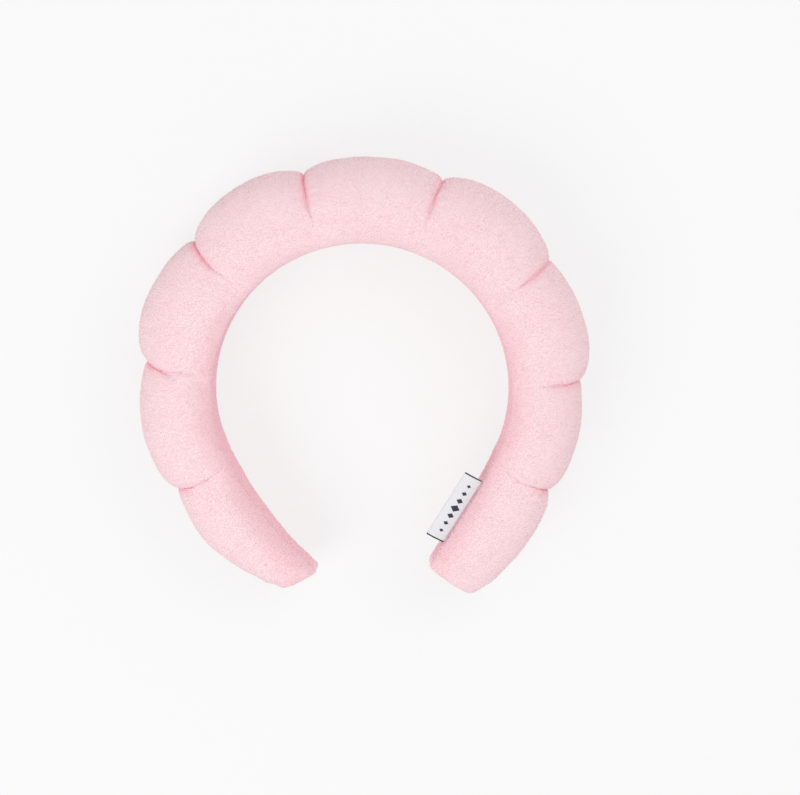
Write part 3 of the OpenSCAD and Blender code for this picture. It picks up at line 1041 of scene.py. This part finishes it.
def addMotif(navy):
    bm = bmesh.new()
    bm.loops.layers.uv.new("weave")
    for q, size in enumerate(label["motif"]):
        x = (q - (len(label["motif"]) - 1) / 2) * label["motifPitch"]
        made = bmesh.ops.create_cone(bm, cap_ends=True, segments=4, radius1=size * mm,
                                     radius2=size * label["motifTaper"] * mm,
                                     depth=label["motifDepth"] * mm)
        verts = made["verts"]
        bmesh.ops.scale(bm, verts=verts, vec=(1.0, label["motifStretch"], 1))
        bmesh.ops.translate(bm, verts=verts, vec=Vector((x, label["motifRow"], 0.02)) * mm)
    edges = [e for e in bm.edges if e.calc_length() > 0.3 * mm]
    bmesh.ops.subdivide_edges(bm, edges=edges, cuts=2, use_grid_fill=True)
    for vert in bm.verts:
        x, y = vert.co.x / mm, vert.co.y / mm
        vert.co.z += (labelTop(y) + labelWave(x, y)) * mm
    uvLayer = bm.loops.layers.uv["weave"]
    for face in bm.faces:
        for corner in face.loops:
            corner[uvLayer].uv = (corner.vert.co.x / mm, corner.vert.co.y / mm)
    bmesh.ops.transform(bm, matrix=labelFrame(), verts=bm.verts)
    motif = meshObject(bm, "labelMotif", navy)
    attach(motif, "label_flap")


def shaded(color, share):
    return tuple(part * share for part in color)


# each ribbon's darker copy of its colour is painted shade for the weave's hollows
whiteLook = ribbonMaterial("labelRibbon", label["white"], shaded(label["white"], label["whiteShade"]))
navyLook = ribbonMaterial("labelNavy", label["navy"], shaded(label["navy"], label["navyShade"]))
addLabel(whiteLook, navyLook)
addMotif(navyLook)
print("label made")


# Looks for the hidden pieces that stay as they are
hoopColors = {"plain": (0.86, 0.86, 0.83), "dark": (0.8, 0.8, 0.76), "light": (0.89, 0.89, 0.87)}
foamColors = {"plain": (0.94, 0.88, 0.66), "dark": (0.82, 0.74, 0.5), "light": (0.95, 0.9, 0.7)}


def plasticMaterial():
    mat, nodes, links, shader = surfaceMaterial("hoopPlastic", hoopColors["plain"], 0.42)
    place = nodes.new("ShaderNodeTexCoord").outputs["Object"]
    flow = noiseAt(nodes, links, place, 220)
    links.new(mixedColor(nodes, links, flow, hoopColors["dark"], hoopColors["light"]),
              shader.inputs["Base Color"])
    addBump(nodes, links, shader, noiseAt(nodes, links, place, 2400), 0.15, 0.0001)
    return mat


def foamMaterial():
    mat, nodes, links, shader = surfaceMaterial("paddingFoam", foamColors["plain"], 0.9)
    place = nodes.new("ShaderNodeTexCoord").outputs["Object"]
    cells = nodes.new("ShaderNodeTexVoronoi")
    cells.inputs["Scale"].default_value = 900
    links.new(place, cells.inputs["Vector"])
    color = mixedColor(nodes, links, cells.outputs["Distance"], foamColors["dark"], foamColors["light"])
    links.new(color, shader.inputs["Base Color"])
    addBump(nodes, links, shader, cells.outputs["Distance"], 0.5, 0.0003)
    return mat


hoopLook, foamLook = plasticMaterial(), foamMaterial()
for obj in bpy.data.objects:
    if obj.name.startswith(("hoop_", "foam_")):
        look = hoopLook if obj.name.startswith("hoop_") else foamLook
        obj.data.materials.clear()
        obj.data.materials.append(look)
print("hidden pieces finished")


# Studio
studio = {
    "distance": 950,
    "tilt": 6.5,
    "aim": (15.2, -3.0),
    "fieldWidth": 320,
    "floor": (0.25, 0.25, 0.25),
    "floorGlow": 0.68,
    "air": 0.68,
    "key": {"place": (-0.55, -0.55, 0.9), "size": 0.8, "power": 5.0},
    "fill": {"place": (0.6, 0.5, 1.0), "size": 1.2, "power": 4.3},
}


def addFloor():
    bm = bmesh.new()
    bmesh.ops.create_grid(bm, x_segments=4, y_segments=4, size=3)
    mesh = bpy.data.meshes.new("floor")
    bm.to_mesh(mesh)
    bm.free()
    obj = bpy.data.objects.new("floor", mesh)
    scene.collection.objects.link(obj)
    mat, nodes, links, shader = surfaceMaterial("paleFloor", studio["floor"], 0.9)
    shader.inputs["Specular IOR Level"].default_value = 0.0
    shader.inputs["Emission Color"].default_value = (1, 1, 1, 1)
    shader.inputs["Emission Strength"].default_value = studio["floorGlow"]
    obj.data.materials.append(mat)


def addLight(name, place, size, power):
    lamp = bpy.data.lights.new(name, "AREA")
    lamp.shape, lamp.size, lamp.energy = "DISK", size, power
    obj = bpy.data.objects.new(name, lamp)
    obj.location = place
    obj.rotation_mode = "QUATERNION"
    obj.rotation_quaternion = (Vector(place) - headCentre).to_track_quat("Z", "Y")
    scene.collection.objects.link(obj)


def addCamera():
    data = bpy.data.cameras.new("camera")
    data.sensor_width = 36
    data.lens = 36 * studio["distance"] / studio["fieldWidth"]
    obj = bpy.data.objects.new("camera", data)
    tilt = radians(studio["tilt"])
    back = Vector((0, sin(tilt), cos(tilt)))
    target = headCentre + Vector((studio["aim"][0], studio["aim"][1], 0)) * mm
    obj.location = target + back * studio["distance"] * mm
    obj.rotation_mode = "QUATERNION"
    across = Vector((1, 0, 0))
    obj.rotation_quaternion = Matrix((across, back.cross(across), back)).transposed().to_quaternion()
    scene.collection.objects.link(obj)
    scene.camera = obj


addFloor()
addLight("key", **studio["key"])
addLight("fill", **studio["fill"])
world = bpy.data.worlds.new("studioAir")
world.use_nodes = True
air = world.node_tree.nodes["Background"]
air.inputs["Color"].default_value = (1, 1, 1, 1)
air.inputs["Strength"].default_value = studio["air"]
scene.world = world
scene.view_settings.view_transform = "Standard"
addCamera()
print("studio ready")
